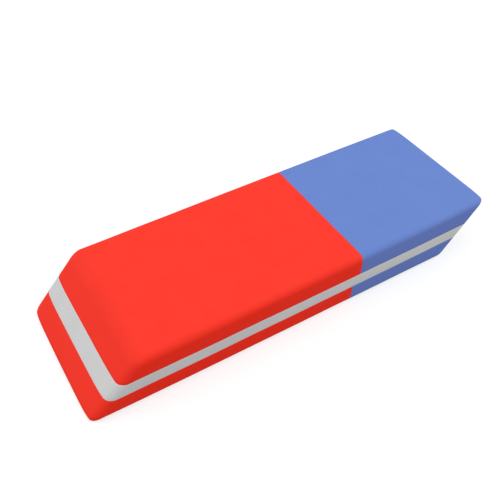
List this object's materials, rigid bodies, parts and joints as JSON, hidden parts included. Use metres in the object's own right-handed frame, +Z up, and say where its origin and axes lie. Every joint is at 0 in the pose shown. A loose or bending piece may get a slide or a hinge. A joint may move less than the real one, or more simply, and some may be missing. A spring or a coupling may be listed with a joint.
{
  "type": "rubber eraser",
  "caption": "Slanted two-ended rubber eraser: a red end and a shorter blue end, split at mid thickness by a thin white rubber layer, with softly rounded edges.",
  "frame": {"origin": "centre of the outline on the face it rests on", "axes": "+X along the bar from the red end to the blue end, +Z up through its thickness"},
  "size_m": [0.0588, 0.02, 0.008],
  "materials": {
    "red_rubber": "matt, slightly powdery red pencil rubber",
    "blue_rubber": "matt blue ink rubber with a fine abrasive grit",
    "white_rubber": "matt grey-white rubber"
  },
  "bodies": {
    "root": {"upper_red_block": "red_rubber", "upper_blue_block": "blue_rubber", "white_core_layer": "white_rubber", "lower_red_block": "red_rubber", "lower_blue_block": "blue_rubber"}
  },
  "joints": []
}
